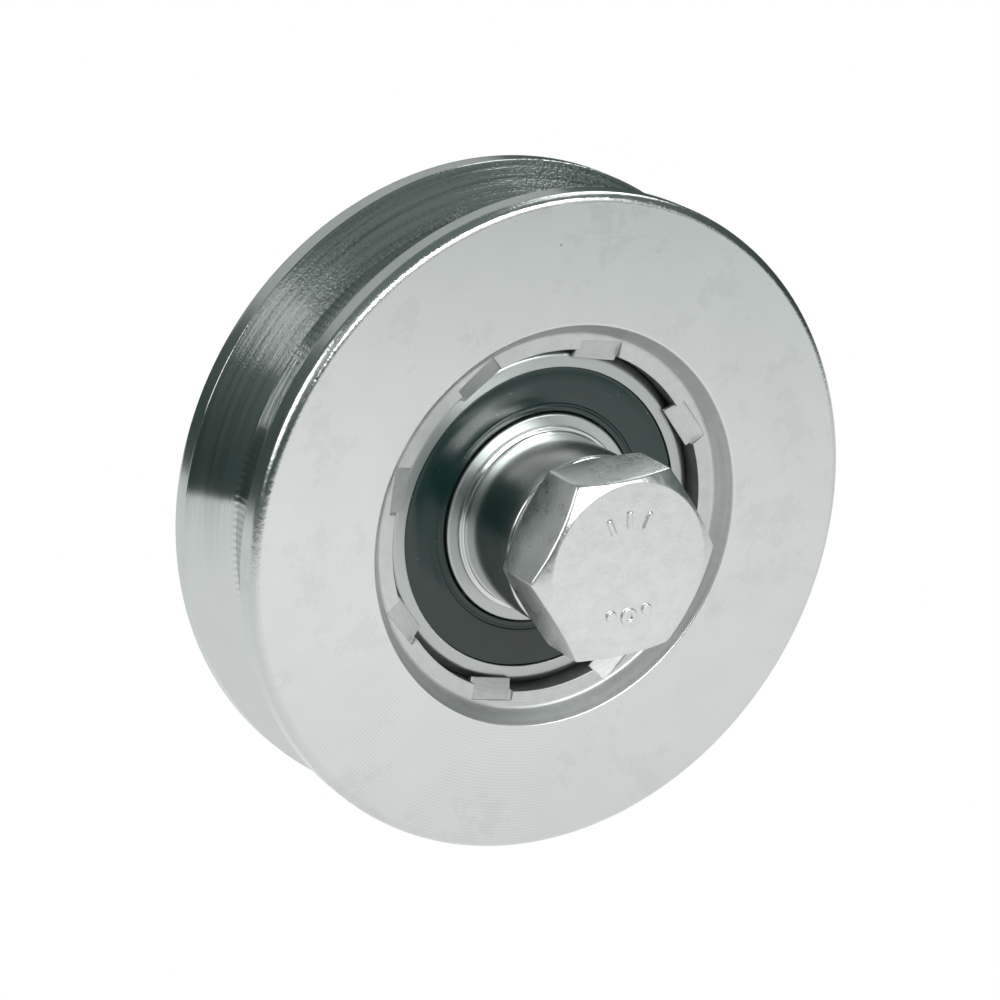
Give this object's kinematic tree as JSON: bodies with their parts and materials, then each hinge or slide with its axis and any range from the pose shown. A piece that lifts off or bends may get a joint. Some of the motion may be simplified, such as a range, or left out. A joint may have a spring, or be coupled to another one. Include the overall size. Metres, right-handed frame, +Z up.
{
  "type": "gate wheel",
  "caption": "Grooved steel wheel for a sliding gate, turning on one sealed ball bearing held by stakes, with a hex axle bolt, spacer bushes, washer and nut.",
  "frame": {"origin": "centre of the wheel, on the axle at the middle of its width", "axes": "+Y along the axle from the bolt head to the nut, the wheel spins about +Y, +Z up, +X to the right seen from the bolt head"},
  "size_m": [0.09, 0.07, 0.09],
  "materials": {
    "wheel_zinc": "bright zinc plate over fine turning lines",
    "bush_zinc": "bright zinc plate, turned",
    "washer_zinc": "bright zinc plate, stamped",
    "bolt_zinc": "zinc plate, handled and lightly scratched",
    "ring_steel": "fine-ground bearing steel",
    "ball_steel": "polished bearing steel",
    "cage_steel": "pressed sheet steel",
    "seal_rubber": "dark grey-green rubber, satin"
  },
  "bodies": {
    "axle": {"axle_bolt": "bolt_zinc", "bush_front": "bush_zinc", "bush_rear": "bush_zinc", "washer": "washer_zinc", "nut": "bolt_zinc", "bearing_inner_ring": "ring_steel"},
    "wheel": {"wheel_body": "wheel_zinc", "bearing_outer_ring": "ring_steel", "seal_front": "seal_rubber", "seal_front_insert": "cage_steel", "seal_rear": "seal_rubber", "seal_rear_insert": "cage_steel"},
    "cage": {"cage_front": "cage_steel", "cage_rear": "cage_steel", "cage_rivet_1": "cage_steel", "cage_rivet_2": "cage_steel", "cage_rivet_3": "cage_steel", "cage_rivet_4": "cage_steel", "cage_rivet_5": "cage_steel", "cage_rivet_6": "cage_steel", "cage_rivet_7": "cage_steel", "cage_rivet_8": "cage_steel"},
    "ball_1": {"ball_1": "ball_steel"},
    "ball_2": {"ball_2": "ball_steel"},
    "ball_3": {"ball_3": "ball_steel"},
    "ball_4": {"ball_4": "ball_steel"},
    "ball_5": {"ball_5": "ball_steel"},
    "ball_6": {"ball_6": "ball_steel"},
    "ball_7": {"ball_7": "ball_steel"},
    "ball_8": {"ball_8": "ball_steel"}
  },
  "joints": [
    {"name": "wheel_spin", "type": "hinge", "parent": "axle", "child": "wheel", "pos_m": [0, 0, 0], "axis": [0, 1, 0], "continuous": true},
    {"name": "cage_spin", "type": "hinge", "parent": "axle", "child": "cage", "pos_m": [0, 0, 0], "axis": [0, 1, 0], "continuous": true},
    {"name": "ball_1_roll", "type": "hinge", "parent": "cage", "child": "ball_1", "pos_m": [0.01675, 0, 0], "axis": [0, 1, 0], "continuous": true},
    {"name": "ball_2_roll", "type": "hinge", "parent": "cage", "child": "ball_2", "pos_m": [0.01184, 0, 0.01184], "axis": [0, 1, 0], "continuous": true},
    {"name": "ball_3_roll", "type": "hinge", "parent": "cage", "child": "ball_3", "pos_m": [0, 0, 0.01675], "axis": [0, 1, 0], "continuous": true},
    {"name": "ball_4_roll", "type": "hinge", "parent": "cage", "child": "ball_4", "pos_m": [-0.01184, 0, 0.01184], "axis": [0, 1, 0], "continuous": true},
    {"name": "ball_5_roll", "type": "hinge", "parent": "cage", "child": "ball_5", "pos_m": [-0.01675, 0, 0], "axis": [0, 1, 0], "continuous": true},
    {"name": "ball_6_roll", "type": "hinge", "parent": "cage", "child": "ball_6", "pos_m": [-0.01184, 0, -0.01184], "axis": [0, 1, 0], "continuous": true},
    {"name": "ball_7_roll", "type": "hinge", "parent": "cage", "child": "ball_7", "pos_m": [0, 0, -0.01675], "axis": [0, 1, 0], "continuous": true},
    {"name": "ball_8_roll", "type": "hinge", "parent": "cage", "child": "ball_8", "pos_m": [0.01184, 0, -0.01184], "axis": [0, 1, 0], "continuous": true}
  ],
  "couplings": [
    {"joint": "cage_spin", "follows": "wheel_spin", "ratio": 0.6185},
    {"joint": "ball_1_roll", "follows": "wheel_spin", "ratio": 1.9916},
    {"joint": "ball_2_roll", "follows": "wheel_spin", "ratio": 1.9916},
    {"joint": "ball_3_roll", "follows": "wheel_spin", "ratio": 1.9916},
    {"joint": "ball_4_roll", "follows": "wheel_spin", "ratio": 1.9916},
    {"joint": "ball_5_roll", "follows": "wheel_spin", "ratio": 1.9916},
    {"joint": "ball_6_roll", "follows": "wheel_spin", "ratio": 1.9916},
    {"joint": "ball_7_roll", "follows": "wheel_spin", "ratio": 1.9916},
    {"joint": "ball_8_roll", "follows": "wheel_spin", "ratio": 1.9916}
  ]
}
